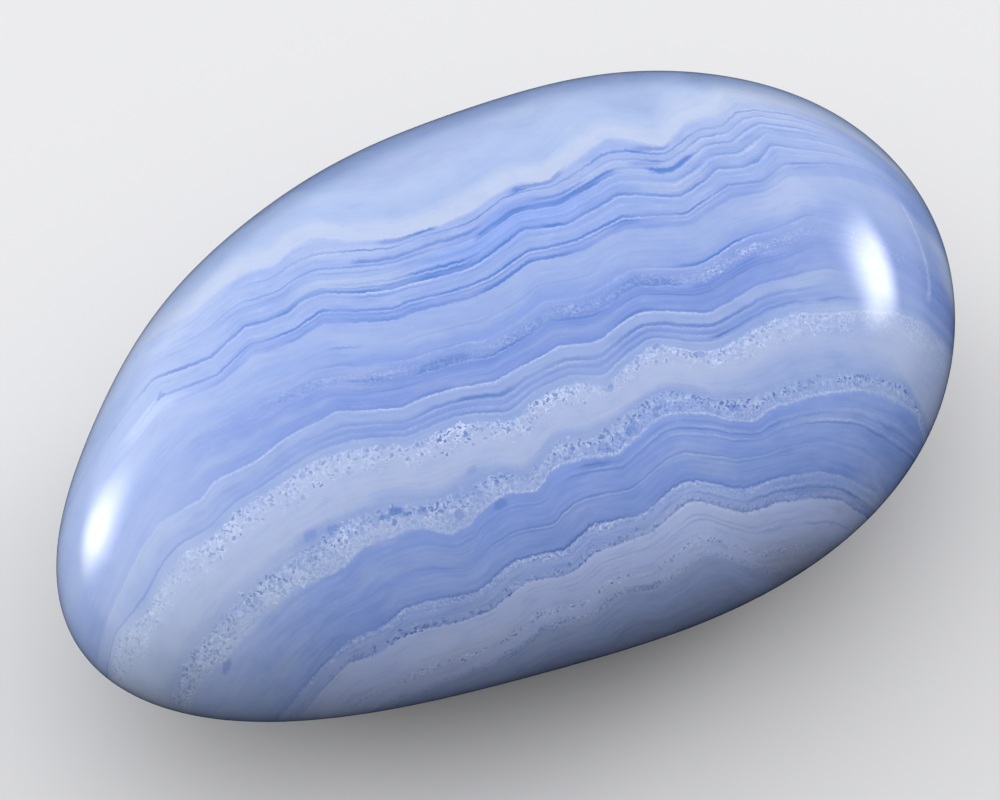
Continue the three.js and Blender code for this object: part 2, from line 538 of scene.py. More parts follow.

# %% [markdown]
# ## Soft patches
#
# No layer keeps one colour over its whole length: here it turns milkier, there a clearer blue shines
# through. Such a change has no edge, so it is worked out at the points of the mesh, as one colour and the
# share in which it covers the ground. A few patches are not the stone's colour: at the rim they are
# painted shade, dark reflections and painted light, and one is a painted highlight.

# %% Soft patches of another colour
# Each has its middle (along, height), how far it reaches along and up, its colour and its strength
PATCHES = [
    (17.5, -3.6, 8, 1, "mist", 0.65), (-14.2, -4.4, 2, 0.6, "periwinkle", 0.6),
    (-9, -3.9, 2.2, 0.5, "mist", 0.5), (-3.6, -4.1, 1.8, 0.6, "mist", 0.6),
    # (14.5, 16.3) on this line and (21.5, 15.2) on the next, in haze, darken the top edge on the right:
    # painted shade where the surface turns away from the light
    (2.5, -4.2, 3.4, 0.5, "mist", 0.5), (22, -2, 4, 1.4, "mist", 0.45), (14.5, 16.3, 5, 2, "haze_and_painted_rim_shade", 0.95),
    (21.5, 15.2, 2.5, 1.2, "haze_and_painted_rim_shade", 0.9), (17.5, 14, 4.5, 1.1, "milk", 0.5),
    (22, 12.2, 4, 1.4, "sky", 0.6), (4, 11, 6, 0.6, "cornflower", 0.8), (4, 9.9, 9, 1.7, "clear", 0.6),
    (-7, 9.8, 6, 0.9, "milk", 0.6), (15, 9.5, 3.5, 0.5, "milk", 0.4),
    (20, 2.6, 8, 1.7, "cornflower", 0.7), (1, 3.1, 12, 0.8, "azure", 0.3),
    (-13.6, 3.1, 2.6, 0.7, "cornflower", 0.6), (21, -9.3, 4, 1.6, "ice", 0.75),
    # (-20.5, -12) on this line, in haze, darkens the bottom-left rim: painted shade and a painted dark
    # reflection; (-9, 17.5) on the next line, in haze, darkens the top edge on the left: painted shade
    (-7, -9.4, 6, 1, "ice", 0.75), (15, -11, 4.5, 0.9, "river", 0.55), (-20.5, -12, 4, 2.2, "haze_and_painted_rim_shade", 0.5),
    # (-22.4, 7.7) on this line, in frost, is a faint pale streak above the left highlight: a painted
    # highlight, its tail
    (-22.4, 7.7, 2.4, 0.4, "frost", 0.6), (-9, 17.5, 6, 1.8, "haze_and_painted_rim_shade", 0.5),
    (-23.5, 12, 6, 2, "frost", 0.4), (-7, 11.8, 5, 0.7, "milk", 0.55), (22, 6, 3.5, 1.9, "lavender", 0.7),
    (8, -5.8, 14, 0.7, "river", 0.45), (22, -4.2, 4, 1.6, "mist", 0.5),
    (22.5, -10.7, 4, 1.8, "cloud", 0.75), (-8, -13.1, 6, 1.3, "frost", 0.25),
    # (-28.2, -3) and (31.8, 4) on this line, in frost, brighten the rim at the bottom left and at the right
    # end: painted light
    (-28.2, -3, 3, 5, "frost", 0.6), (-22, -6.6, 4.5, 2.2, "cloud", 0.3), (31.8, 4, 1.8, 5, "frost", 0.7),
    (-3.2, 3.25, 2.3, 0.45, "deep", 0.4), (10.6, 3.3, 2.8, 0.6, "deep", 0.4),
    (-8, 3.1, 1.8, 0.3, "deep", 0.3), (-21.5, 7.2, 4, 0.6, "frost", 0.4),
    (23, -5, 3.5, 0.7, "river", 0.5), (26, 1.1, 5.5, 1.8, "periwinkle", 0.75),
    (-25.3, -5.2, 1.4, 0.8, "river", 0.5), (15, 7.1, 4, 0.4, "milk", 0.3), (22, -1, 4, 0.5, "milk", 0.4),
    (14, -6.9, 5, 1, "deep", 0.12), (15, 2.3, 5, 0.8, "deep", 0.14), (19, -2.9, 7, 1, "dusk", 0.22),
    # (14.5, -15) in the grey darkens the bottom-right rim: painted dark reflection and painted shade
    (14.5, -15, 5.5, 2.4, "painted_dark_reflection", 0.45),
]
PATCH_CORE = 0.2
NEARLY_NOTHING = 1e-6


def soft_patches(along, height):
    """Colour and share of all the patches together. Each covers the ones before it in its own share,
    which is full in its middle and gone where the distance from there, counted in its reaches, is 1."""
    tint = np.tile(linear("mist")[:3], (len(along), 1))
    covered = np.zeros(len(along))
    for middle, level, wide, high, name, strength in PATCHES:
        share = strength * smooth(np.hypot((along - middle) / wide, (height - level) / high), 1, PATCH_CORE)
        covered = 1 - (1 - covered) * (1 - share)
        part = share / np.maximum(covered, NEARLY_NOTHING)
        tint += (np.array(linear(name)[:3]) - tint) * part[:, None]
    return tint, covered


tint, covered = soft_patches(along_beds, height_beds)
store("tint", tint)
store("tint_share", covered)
print("share of the points with a patch:", np.round(np.mean(covered > 0.05), 2))

# %% [markdown]
# ## Fine lines
#
# The lace is drawn by lines 0.05 to 0.25 mm thick. Many dark ones have a light one close under or over
# them, and few run the whole length: they swell, fade and come back. So each line has its two edges in
# the stack, and a score of its strength, from 0 to 9, at nine stations along the stone.

# %% Lines and their strengths along the stone
STATIONS = (-24, -18, -12, -6, 0, 6, 12, 18, 24)
DARK_LINES = [
    (11.78, 11.88, "012555554"), (11.3, 11.37, "000000232"), (10.72, 10.8, "013320243"),
    (10.32, 10.4, "012210023"), (10.15, 10.21, "001121121"), (9.98, 10.05, "000110242"),
    (9.55, 9.66, "000241110"), (9.28, 9.36, "002342211"), (9, 9.18, "156676443"), (8.6, 8.7, "001221110"),
    (7.59, 7.72, "045676554"), (7.33, 7.41, "001332321"), (6.86, 7.08, "012343210"),
    (5.2, 5.3, "000121100"), (4.15, 4.22, "001200250"), (2.5, 2.56, "001111231"),
    (2.3, 2.38, "001321430"), (1.2, 1.32, "000122330"), (0.28, 0.44, "011344530"),
    (-0.14, -0.02, "001112220"), (-0.55, -0.46, "222232210"), (-6.75, -6.66, "000012211"),
    (-7.18, -7.08, "000123321"), (-7.6, -7.52, "000001232"), (-8.6, -8.52, "001132210"),
    (-8.82, -8.75, "000121200"), (-10.28, -10.2, "112353310"), (-11.2, -11.12, "000001331"),
    (-11.83, -11.75, "011221331"), (-12.68, -12.6, "000012100"), (-12.98, -12.92, "000001210"),
]
LIGHT_LINES = [
    (11.9, 11.98, "001222221"), (11.18, 11.25, "000000232"), (10.6, 10.67, "001110233"),
    (10.38, 10.44, "000012210"), (9.8, 9.87, "000001232"), (8.9, 8.98, "023443332"),
    (8.35, 8.45, "000001111"), (7.49, 7.56, "012233321"), (6.76, 6.84, "011111000"),
    (4.05, 4.13, "001121230"), (2.88, 2.95, "001122320"), (1.1, 1.18, "134444410"),
    (0.16, 0.24, "001122200"), (-0.24, -0.16, "011221220"), (-0.65, -0.57, "011222110"),
    (-1.2, -1.1, "012334553"), (-6.22, -6.1, "234455553"), (-7, -6.9, "000012321"),
    (-7.46, -7.38, "000001232"), (-8.7, -8.62, "000122210"), (-10.42, -10.36, "112344321"),
    (-10.95, -10.85, "001121231"), (-11.95, -11.87, "012334421"),
]
print("dark lines:", len(DARK_LINES), "light lines:", len(LIGHT_LINES))

# %% The lines as stops of ramps
CRISP = 0.02
SOFT = 0.1
FULL_SCORE = 9
STATION_SETS = (0, 3, 6)


def line_stops():
    """Stops for three sets of ramps, three stations to a set. A half is the plain ground, less is
    darker and more is lighter. A dark line is crisp at its lower edge and soft above, and a light
    line the other way round."""
    edges = []
    for lines, sign, below, above in ((DARK_LINES, -1, CRISP, SOFT), (LIGHT_LINES, 1, SOFT, CRISP)):
        for bottom, top, score in lines:
            spots = [bottom - below, bottom, top, top + above]
            strengths = np.array([int(mark) for mark in score]) / FULL_SCORE * sign
            edges.append((spots, strengths))
    levels = sorted({round(spot, 3) for spots, _ in edges for spot in spots})
    total = sum(np.interp(levels, spots, [0, 1, 1, 0])[:, None] * strengths for spots, strengths in edges)
    values = np.clip(0.5 + 0.5 * total, 0, 1)
    return [
        [(level, (*row[part:part + 3], 1)) for level, row in zip(levels, values)]
        for part in STATION_SETS
    ]


stops_of_lines = line_stops()
print("stops for the lines:", len(stops_of_lines[0]), "in each of", len(stops_of_lines), "sets")

# %% How near each point is to each station
def station_shares(along):
    """One share for each station: 1 at its own station, falling evenly to 0 at the next ones."""
    marks = np.eye(len(STATIONS))
    return np.stack([np.interp(along, STATIONS, mark) for mark in marks], 1)


shares = station_shares(along_beds)
for part in STATION_SETS:
    store(f"stations_{part}", shares[:, part:part + 3])
print("station shares add up to", shares.sum(1).min(), "at least")

# %% The shade of the lines
def fine_lines(tree, height):
    """The lines' own shade, from -1, dark, to 1, light: at each height the strengths of the stations,
    in their shares."""
    shade = 0.0
    for part, stops in zip(STATION_SETS, stops_of_lines):
        strengths = colour_stack(tree, height, stops)
        own = vectors(tree, "DOT_PRODUCT", strengths, stored(tree, f"stations_{part}"), result=1)
        shade = sums(tree, "ADD", shade, own)
    return sums(tree, "MULTIPLY_ADD", shade, 2.0, -1.0)


# %% [markdown]
# ## Short dashes
#
# Some lines thicken for a few millimetres into a dark dash with soft ends, and now and then a dash leaves
# its layer at a slant. A line whose strength is given at stations is too even for that, so dashes are
# listed one by one. To keep the material small they are sorted into rows, in which one dash starts after
# the last has ended.

# %% Short dashes that stand out
# A dash has its lower edge in the stack, its thickness, where it starts and ends along the stone, its
# strength, and its slope, which is how much the height grows per millimetre along
DASH_ROWS = [
    [(12.2, 0.36, -4.6, -0.8, 0.8, 0.04), (12.1, 0.36, 4.8, 8.4, 0.95, 0.12),
     (12, 0.26, 13.2, 15.8, 0.4, 0.18)],
    [(11.02, 0.24, -6.6, 1.9, 0.55, 0.02), (10.98, 0.2, 5.8, 9.4, 0.5, 0),
     (11.02, 0.28, 12.8, 14.9, 0.5, 0.12)],
    [(9.52, 0.18, -3.4, 0.1, 0.5, 0.03), (10.4, 0.42, 1.6, 11.8, 0.85, 0),
     (10.58, 0.36, 13.9, 17, 0.8, 0.02)],
    [(3.12, 0.2, -9.2, -6.7, 0.5, 0), (9.22, 0.14, -5.2, 0.4, 0.4, 0), (9.02, 0.26, 1.2, 6.9, 0.45, 0),
     (7.12, 0.34, 10.1, 11.7, 0.35, 0), (4.15, 0.18, 13.2, 17.6, 0.45, -0.02)],
    [(3, 0.45, -5, -1.6, 0.6, 0.02), (2.95, 0.18, -0.8, 3.4, 0.6, 0), (2.7, 0.22, 4.2, 7.4, 0.45, 0),
     (2.92, 0.4, 8.2, 12.6, 0.55, 0.04), (2.7, 0.3, 13.4, 18.4, 0.4, 0)],
    [(1.22, 0.3, -5.3, -3.2, 0.3, 0), (6.88, 0.16, 0.3, 6.9, 0.35, 0), (1.22, 0.26, 7.9, 10.5, 0.4, 0.02),
     (-0.42, 0.2, 13.4, 19.8, 0.6, 0), (-0.42, 0.16, 20.9, 22.8, 0.5, 0)],
    [(4.3, 0.12, -9, -6, 0.35, 0.02), (0.3, 0.26, -3, 0.2, 0.4, 0), (-6.95, 0.4, 2.6, 4.4, 0.3, 0.1)],
    [(5.2, 0.12, -9.5, -7.8, 0.3, 0), (-15.2, 0.4, -6.8, -2.5, 0.22, 0), (-15.15, 0.4, 0.5, 4.7, 0.25, 0)],
]
print("dashes:", sum(len(row) for row in DASH_ROWS))

# %% Dashes stored at the points
DASH_END = 0.35


def dash_row(along, row):
    """Lower edge, thickness and strength of a row at every place along. A dash swells from nothing
    over its ends, and between two dashes the strength is 0."""
    knots, values = [], []
    for bottom, thick, start, end, strength, slope in row:
        ends = ((start - DASH_END, 0), (start + DASH_END, 1), (end - DASH_END, 1), (end + DASH_END, 0))
        for spot, share in ends:
            knots.append(spot)
            values.append((bottom + slope * (spot - (start + end) / 2), thick, strength * share))
    return np.stack([np.interp(along, knots, column) for column in np.array(values).T], 1)


for number, row in enumerate(DASH_ROWS):
    store(f"dashes_{number}", dash_row(along_beds, row))
print("rows of dashes stored:", len(DASH_ROWS))

# %% The shade of the dashes
DASH_SOFT = 0.12


def short_dashes(tree, height):
    """How dark the dashes make a place: each row between its edges, crisp below and soft above."""
    shade = 0.0
    for number in range(len(DASH_ROWS)):
        bottom, thick, strength = put(tree, "SeparateXYZ", {0: stored(tree, f"dashes_{number}")}).outputs
        room = sums(tree, "SUBTRACT", height, bottom)
        above = ramp_between(tree, room, -CRISP, CRISP)
        below = ramp_between(tree, sums(tree, "SUBTRACT", room, thick), DASH_SOFT, -DASH_SOFT)
        own = sums(tree, "MULTIPLY", sums(tree, "MULTIPLY", above, below), strength)
        shade = sums(tree, "MAXIMUM", shade, own)
    return shade


# %% [markdown]
# ## Sugary bands
#
# In some bands the agate ran out of silica gel and grew small quartz grains instead. Under the polish
# they show as whitish curls round dark specks, sharp against the blue at one edge and melting into milk
# at the other. A cell pattern, bent by noise, gives the grains. A whole cell is in the band or out of it,
# by the height of its own middle, so the edge of the band is grainy and not a cut line.

# %% Making and using a node group
def add_sockets(group, inputs, outputs):
    """Gives a node group its named inputs and outputs. An input is its kind and its first value."""
    for name, (kind, value) in inputs.items():
        socket = group.interface.new_socket(name, in_out="INPUT", socket_type="NodeSocket" + kind)
        if value is not None:
            socket.default_value = value
    for name in outputs:
        group.interface.new_socket(name, in_out="OUTPUT", socket_type="NodeSocketFloat")


def new_group(name, inputs, outputs):
    """An empty node group with named sockets: the group, what it takes, and what it gives."""
    group = bpy.data.node_groups.new(name, "ShaderNodeTree")
    add_sockets(group, inputs, outputs)
    return group, group.nodes.new("NodeGroupInput").outputs, group.nodes.new("NodeGroupOutput").inputs


def use_group(tree, group, inputs):
    """A node group put to use: what it gives for its inputs."""
    return put(tree, "Group", inputs, node_tree=group).outputs


# %% A node group for grains
# Distances from a grain's middle, as shares of its size: where its curl starts and is full, and where its
# speck ends and is full
CURL_EDGE = (0.3, 0.6)
SPECK_EDGE = (0.76, 0.46)
# The grit's values between which a curl is gone and strongest, and how far the grit moves a speck's edge
CRUMBS = (0.38, 0.62)
STRONGEST_CRUMB = 1.2
GRIT_IN_SPECK = 0.4
# What a grain's lots make of its curl and its speck at the least, and the lots from which the speck is full
FAINTEST_CURL = 0.5
FAINTEST_SPECK = 0.1
SPECK_LOTS = (0.0, 0.6)


def grain_cells():
    """Grains of a given size in a place that is bent already. Rim is the bright curl round each
    grain, broken up by the grit, and Speck its dark middle, which most grains have. Lift is how far
    the grain's middle lies above the point, and Lot a number drawn for each grain."""
    inputs = {"Place": ("Vector", None), "Grit": ("Float", 0.5), "Size": ("Float", 0.3)}
    group, taken, given = new_group("grain_cells", inputs, ("Rim", "Speck", "Lift", "Lot"))
    scale = sums(group, "DIVIDE", 1.0, taken["Size"])
    cells = put(group, "TexVoronoi", {"Vector": taken["Place"], "Scale": scale, "Randomness": 1.0}).outputs
    lots = put(group, "SeparateColor", {0: cells["Color"]}).outputs
    arm = vectors(group, "SUBTRACT", cells["Position"], taken["Place"])
    crumbs = ramp_between(group, taken["Grit"], *CRUMBS, 0.0, STRONGEST_CRUMB)
    rough_distance = sums(group, "MULTIPLY_ADD", taken["Grit"], GRIT_IN_SPECK, cells["Distance"])
    rim = sums(group, "MULTIPLY", ramp_between(group, cells["Distance"], *CURL_EDGE), crumbs)
    has_speck = ramp_between(group, lots[1], *SPECK_LOTS, FAINTEST_SPECK, 1.0)
    for name, value in {
        "Rim": sums(group, "MULTIPLY", rim, ramp_between(group, lots[0], 0, 1, FAINTEST_CURL, 1.0)),
        "Speck": sums(group, "MULTIPLY", ramp_between(group, rough_distance, *SPECK_EDGE), has_speck),
        "Lift": vectors(group, "DOT_PRODUCT", arm, tuple(across_axis), result=1),
        "Lot": lots[2],
    }.items():
        group.links.new(value, given[name])
    return group


grain_pattern = grain_cells()
print("node group:", grain_pattern.name, "with", len(grain_pattern.nodes), "nodes")

# %% A node group for the ragged edges of a band
# How soon a grain comes and goes at the edge of a band
GRAIN_EDGE = (-0.15, 0.25)


def grainy_band():
    """How far a grain belongs to the band between Bottom and Top. The edges are as ragged as their
    fades are long: each grain drops out where the share of the fade falls below its own lot."""
    names = ("Height", "Lot", "Bottom", "Top", "Fade Below", "Fade Above")
    group, taken, given = new_group("grainy_band", {name: ("Float", 0.0) for name in names}, ("Inside",))
    from_bottom = sums(group, "SUBTRACT", taken["Height"], taken["Bottom"])
    from_top = sums(group, "SUBTRACT", taken["Top"], taken["Height"])
    low = sums(group, "DIVIDE", from_bottom, taken["Fade Below"])
    high = sums(group, "DIVIDE", from_top, taken["Fade Above"])
    room = sums(group, "SUBTRACT", sums(group, "MINIMUM", low, high), taken["Lot"])
    group.links.new(ramp_between(group, room, *GRAIN_EDGE), given["Inside"])
    return group


band_pattern = grainy_band()
print("node group:", band_pattern.name, "with", len(band_pattern.nodes), "nodes")

# %% Where the grains are
# Each band lies from one height in the stack to another, and inside its lower and upper edge it thins out
# over the two lengths of its fades. Fill is a milky tint of the whole grain. Each strength is a score at
# the stations.
SUGARY_BANDS = [
    {"grain": "coarse", "from": -2.65, "to": -1.05, "fades": (1.3, 0.12), "fill": "222222111",
     "curls": "444555442", "specks": "256765431"},
    {"grain": "coarse", "from": -6.15, "to": -4.9, "fades": (0.12, 0.7), "fill": "555420011",
     "curls": "333322222", "specks": "333333222"},
    {"grain": "coarse", "from": -5.6, "to": -4.55, "fades": (0.4, 0.35), "fill": "111111111",
     "curls": "333322222", "specks": "456665776"},
    {"grain": "fine", "from": 2.95, "to": 3.75, "fades": (0.25, 0.35), "fill": "000111110",
     "curls": "001112231", "specks": "012334430"},
    {"grain": "fine", "from": -10.85, "to": -10.3, "fades": (0.4, 0.08), "fill": "000000000",
     "curls": "246665310", "specks": "123443210"},
    {"grain": "coarse", "from": -11.95, "to": -11.1, "fades": (0.12, 0.6), "fill": "000000000",
     "curls": "012333210", "specks": "026777520"},
    {"grain": "fine", "from": -14.3, "to": -13.85, "fades": (0.3, 0.1), "fill": "001111000",
     "curls": "025777410", "specks": "014655310"},
    {"grain": "fine", "from": -15.3, "to": -14.7, "fades": (0.3, 0.15), "fill": "000000000",
     "curls": "001343100", "specks": "002343200"},
]


def scored(along, score):
    """Strengths from 0 to 1 along the stone, from a score at each station."""
    return np.interp(along, STATIONS, [int(mark) / FULL_SCORE for mark in score])


for number, band in enumerate(SUGARY_BANDS):
    strengths = [scored(along_beds, band[kind]) for kind in ("fill", "curls", "specks")]
    store(f"grains_{number}", np.stack(strengths, 1))
print("sugary bands:", len(SUGARY_BANDS))

# %% Grains laid over the colour
GRAIN_SIZE = {"coarse": 0.28, "fine": 0.24}
# The bands are stronger here and weaker there, in lumps of this size
GAP_SIZE = 2.5
GAP_NOISE = (0.35, 0.65)
GAP_STRENGTH = (0.6, 1.15)


def sugar(tree, bent, grit, level, colour):
    """The colour with every sugary band laid over it."""
    grains = {}
    for name, size in GRAIN_SIZE.items():
        grains[name] = use_group(tree, grain_pattern, {"Place": bent, "Grit": grit, "Size": size})
    gaps = ramp_between(tree, noise(tree, bent, GAP_SIZE, detail=0.0), *GAP_NOISE, *GAP_STRENGTH)
    for number, band in enumerate(SUGARY_BANDS):
        grain = grains[band["grain"]]
        inside = use_group(tree, band_pattern, {
            "Height": sums(tree, "ADD", level, grain["Lift"]), "Lot": grain["Lot"], "Bottom": band["from"],
            "Top": band["to"], "Fade Below": band["fades"][0], "Fade Above": band["fades"][1],
        })["Inside"]
        strengths = vectors(tree, "SCALE", stored(tree, f"grains_{number}"))
        tree.links.new(sums(tree, "MULTIPLY", inside, gaps), strengths.node.inputs["Scale"])
        fill, curls, specks = put(tree, "SeparateXYZ", {0: strengths}).outputs
        colour = mix_colours(tree, fill, colour, linear("veil_and_painted_light"))
        colour = mix_colours(tree, sums(tree, "MULTIPLY", grain["Rim"], curls), colour, linear("frost"))
        colour = mix_colours(tree, sums(tree, "MULTIPLY", grain["Speck"], specks), colour, linear("deep"))
    return colour


# %% [markdown]
# ## Blue blots
#
# Here and there a single larger grain is clear, and the blue below shines through it. There are few of
# them, each with a place of its own, so they are a short list. The noise that bends the grains makes
# their outlines ragged.

# %% Single larger grains of clear blue
# Each has its middle (along, height), how far it reaches, and its strength
BLOTS = [
    (-9.9, -5.15, 0.26, 0.75), (-9, -4.95, 0.5, 0.8), (-8.4, -5.25, 0.26, 0.75), (-9.3, -5.6, 0.28, 0.65),
    (-3.35, -1.8, 0.22, 0.7), (-3.7, -3.85, 0.35, 0.25), (-22, -6.5, 0.4, 0.35), (-2.8, -6.65, 0.5, 0.55),
    (4.4, -5.8, 0.4, 0.35), (6.3, -5.6, 0.4, 0.35), (13.1, -5.3, 0.5, 0.5), (16.7, -5.2, 0.28, 0.35),
    (17.9, -5.5, 0.28, 0.35), (6, -1.45, 0.5, 0.3), (9.7, -1.15, 0.35, 0.35), (12.2, -1.35, 0.4, 0.35),
    (-8.6, -1.3, 0.4, 0.25), (-14.4, -4.3, 0.5, 0.3), (-13, -4.6, 0.4, 0.4), (-7.4, -5.2, 0.4, 0.45),
    (-5.4, -5.6, 0.4, 0.35), (8.4, -5.5, 0.35, 0.35), (21.3, -5.6, 0.4, 0.3), (-20.9, 7.8, 0.35, 0.4),
]
print("blots:", len(BLOTS))

# %% Blots laid over the colour
BLOT_FLATNESS = 1.6
BLOT_EDGE = (1.25, 0.6)


def blue_blots(tree, along, level, bend, colour):
    """The colour with every blot over it. Distances count more across the layers than along them, by
    the flatness, and the bend of the grains makes them ragged."""
    spot = put(tree, "CombineXYZ", {0: along, 1: sums(tree, "MULTIPLY", level, BLOT_FLATNESS)}).outputs[0]
    spot = vectors(tree, "ADD", spot, bend)
    share = 0.0
    for middle, height, reach, strength in BLOTS:
        away = vectors(tree, "DISTANCE", spot, (middle, height * BLOT_FLATNESS, 0), result=1)
        outer, inner = (reach * edge for edge in BLOT_EDGE)
        share = sums(tree, "MAXIMUM", share, ramp_between(tree, away, outer, inner, 0.0, strength))
    return mix_colours(tree, share, colour, linear("azure"))


# %% [markdown]
# ## How the layers behave
#
# The layers differ in more than colour. Between the lines run leaves too thin to count, stronger in some
# layers than in others. Sugary layers have ragged edges. And at both ends of the stone a pale veil covers
# everything: partly the ends' own paler colour, and partly painted light, the extra light that the ends
# catch from the side. Each of these is a table by height in the stack.

# %% Leaves, raggedness and veil
# By height in the stack: how strong the leaves are, how ragged every edge is, in millimetres, and how
# strong the veil is, which is partly painted light
LEAFY = [
    (-16, 0.5), (-14.8, 0.55), (-12, 0.5), (-11.7, 0.9), (-10.4, 0.9), (-10.1, 0.65), (-6.4, 0.65),
    (-6, 0.3), (-4.8, 0.45), (-3.5, 0.45), (-1.2, 0.3), (-0.8, 0.45), (3.4, 0.65), (4.4, 0.5), (6.6, 0.4),
    (6.9, 0.7), (12.2, 0.6), (12.8, 0.25), (19, 0.2),
]
RAGGED = [
    (-16, 0.3), (-14.8, 0.3), (-13.5, 0.3), (-12.3, 0.1), (-11.8, 0.35), (-10, 0.35), (-9.5, 0.12),
    (-6.6, 0.12), (-6.2, 0.45), (-4.6, 0.45), (-3.6, 0.2), (-1.2, 0.35), (-0.6, 0.14), (2.4, 0.14),
    (3.2, 0.3), (4, 0.16), (6.6, 0.2), (12, 0.2), (13, 0.3), (19, 0.3),
]
VEIL_PAINTED_LIGHT_BY_HEIGHT = [
    (-19, 0.75), (-6, 0.75), (-1.5, 0.7), (-0.5, 0.5), (6, 0.5), (7.5, 0.65), (10, 0.75), (12.4, 0.85),
    (19, 0.85),
]
print("heights given for leaves, raggedness and veil:", len(LEAFY), len(RAGGED), len(VEIL_PAINTED_LIGHT_BY_HEIGHT))

# %% Their change towards the ends of the stone
# Places along the stone between which the leaves grow to full, and fade again, and what is left of them
LEAVES_GROW = (-27, -14)
LEAVES_FADE = (20, 28)
LEAVES_LEFT = (0.25, 0.4)
# Places along between which the veil of each end thickens, partly as painted light, and how strong it gets
# at the right
LEFT_VEIL_PAINTED_LIGHT = (-8, -32)
RIGHT_VEIL_PAINTED_LIGHT = (14, 28)
RIGHT_VEIL_PAINTED_LIGHT_STRENGTH = 0.15


def behaviour(along, height):
    """Leaves, raggedness and veil at every point. Towards both ends the leaves grow faint and the
    veil thickens; at the ends the veil is partly painted light."""
    leafy, ragged, veil_painted_light_share = (np.interp(height, *np.array(table).T) for table in (LEAFY, RAGGED, VEIL_PAINTED_LIGHT_BY_HEIGHT))
    left_share = LEAVES_LEFT[0] + (1 - LEAVES_LEFT[0]) * smooth(along, *LEAVES_GROW)
    right_share = 1 - (1 - LEAVES_LEFT[1]) * smooth(along, *LEAVES_FADE)
    leaves = leafy * left_share * right_share
    # The pale veil at both ends is partly painted light: the extra light the ends catch from the side
    veil_and_painted_light = np.maximum(veil_painted_light_share * smooth(along, *LEFT_VEIL_PAINTED_LIGHT), RIGHT_VEIL_PAINTED_LIGHT_STRENGTH * smooth(along, *RIGHT_VEIL_PAINTED_LIGHT))
    return np.stack([leaves, ragged, veil_and_painted_light], 1)


behaving = behaviour(along_beds, height_beds)
store("behaviour", behaving)
print("strongest veil:", np.round(behaving[:, 2].max(), 2))

# %% [markdown]
# ## The polished stone
#
# The material first asks where a point lies in the stack, with a little unevenness added. From there it
# lays one thing over another: the ground colours with soft clouds, the patches, some of them painted shade
# and painted light at the rim, the veil of the paler ends, which is partly painted light, the leaves, lines
# and dashes with a painted reflection of a thin light near the right rim, the sugary grains, and last the
# blots. All of it is colour. What makes the stone look wet is the shader itself: a very smooth surface
# that bends light as quartz does.

# %% Unevenness of the layers
# How much the height and the way through the stone count in the place that the unevenness is taken from
UP_SHARE, THROUGH_SHARE = 0.3, 0.5
WAVES = {"size": 3.0, "depth": 0.15}
RIPPLES = {"size": 0.7, "depth": 0.14}
TOOTH_SIZE = 0.25
CENTRE = 0.5
farthest_move = (WAVES["depth"] + RIPPLES["depth"]) * CENTRE
print("waves and ripples move a layer by up to", round(farthest_move, 3), "mm")


def wandering_height(tree, along, height, through, ragged):
    """The height with the small unevenness that every layer copies from the one below: slow waves,
    fine ones, and teeth that are larger where the layers are sugary."""
    low = sums(tree, "MULTIPLY", height, UP_SHARE)
    deep = sums(tree, "MULTIPLY", through, THROUGH_SHARE)
    place = put(tree, "CombineXYZ", {0: along, 1: low, 2: deep}).outputs[0]
    slow = sums(tree, "SUBTRACT", noise(tree, place, WAVES["size"], detail=0.0), CENTRE)
    fine = sums(tree, "SUBTRACT", noise(tree, place, RIPPLES["size"], detail=1.0), CENTRE)
    teeth = sums(tree, "SUBTRACT", noise(tree, place, TOOTH_SIZE, detail=2.0, roughness=0.7), CENTRE)
    moved = sums(tree, "MULTIPLY_ADD", slow, WAVES["depth"], height)
    moved = sums(tree, "MULTIPLY_ADD", fine, RIPPLES["depth"], moved)
    return sums(tree, "MULTIPLY_ADD", teeth, ragged, moved)


# %% Places drawn out along the layers
def squeezed(tree, along, height, through, share):
    """A place for noise that is drawn out along the layers: along and through count only in the given
    share."""
    long_way = sums(tree, "MULTIPLY", along, share)
    deep_way = sums(tree, "MULTIPLY", through, share)
    return put(tree, "CombineXYZ", {0: long_way, 1: height, 2: deep_way}).outputs[0]


# %% A painted reflection of a thin light, a pale line across the layers
REFLECTION_FROM = 29.75
REFLECTION_BEND = 0.07
REFLECTION_MIDDLE = 6.0
REFLECTION_STARTS = (1.4, 2.2)
REFLECTION_ENDS = (7.2, 6.6)
REFLECTION_WIDTH = (0.16, 0.02)
REFLECTION_STRENGTH = 0.5


def painted_thin_reflection(tree, along, level):
    """How strong the painted reflection of a thin light is: one pale curved line across the layers near
    the right rim. It lies where along is its start less its bend times the square of the height from its
    middle height."""
    lift = sums(tree, "SUBTRACT", level, REFLECTION_MIDDLE)
    bow = sums(tree, "MULTIPLY_ADD", sums(tree, "MULTIPLY", lift, lift), REFLECTION_BEND, -REFLECTION_FROM)
    thin = ramp_between(tree, sums(tree, "ABSOLUTE", sums(tree, "ADD", along, bow)), *REFLECTION_WIDTH)
    low = ramp_between(tree, level, *REFLECTION_STARTS)
    high = ramp_between(tree, level, *REFLECTION_ENDS, 0.0, REFLECTION_STRENGTH)
    return sums(tree, "MULTIPLY", sums(tree, "MULTIPLY", thin, low), high)


# %% Ground with clouds, patches and veil
# Sizes are in millimetres. Here and below, a pair named for a noise holds the values of the noise between
# which its effect grows, and a pair of strengths is what it grows from and to.
CLOUD_SIZE = 1.6
CLOUD_NOISE = (0.4, 0.75)
CLOUD_STRENGTH = 0.3


